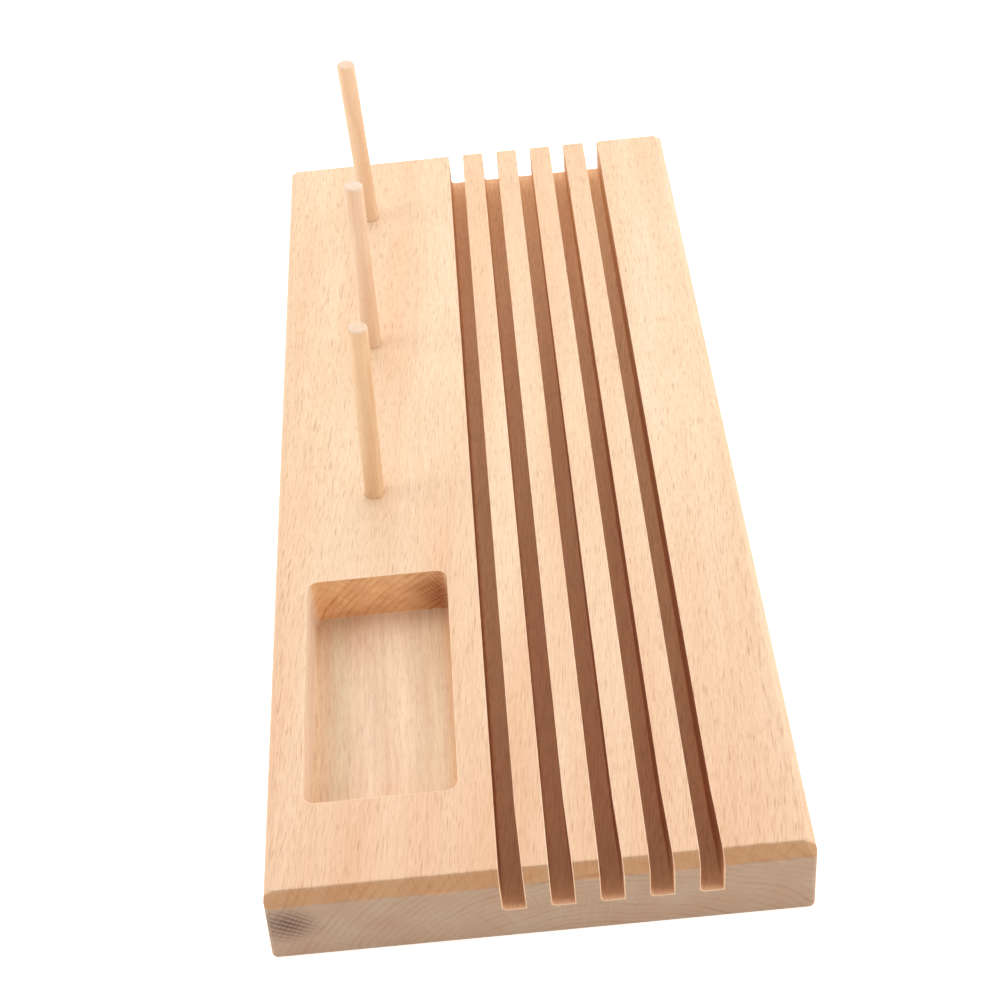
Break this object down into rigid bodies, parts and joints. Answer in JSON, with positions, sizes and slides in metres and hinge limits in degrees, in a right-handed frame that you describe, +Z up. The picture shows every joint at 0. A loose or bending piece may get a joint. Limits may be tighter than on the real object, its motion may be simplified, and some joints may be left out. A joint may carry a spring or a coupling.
{
  "type": "desktop ruler rack",
  "caption": "Beech desktop rack: a plank with lengthwise slots that hold rulers on edge, a milled tray, and upright dowel pins for thread spools.",
  "frame": {"origin": "on the underside, under the middle of the plank", "axes": "+Z up, +Y along the ruler slots away from the user, +X to the user's right"},
  "size_m": [0.1431, 0.315, 0.092],
  "materials": {
    "block_beech": "sanded, lightly oiled beech",
    "pin_beech": "sanded beech dowel"
  },
  "bodies": {
    "block": {"ruler_block": "block_beech"},
    "rear_pin": {"thread_pin_rear": "pin_beech"},
    "middle_pin": {"thread_pin_middle": "pin_beech"},
    "front_pin": {"thread_pin_front": "pin_beech"}
  },
  "joints": [
    {"name": "rear_pin_pull", "type": "slide", "parent": "block", "child": "rear_pin", "axis": [0, 0, 1], "range_m": [0, 0.03]},
    {"name": "middle_pin_pull", "type": "slide", "parent": "block", "child": "middle_pin", "axis": [0.0384, 0.0087, 0.9992], "range_m": [0, 0.03]},
    {"name": "front_pin_pull", "type": "slide", "parent": "block", "child": "front_pin", "axis": [0.0558, 0.0488, 0.9972], "range_m": [0, 0.03]}
  ]
}
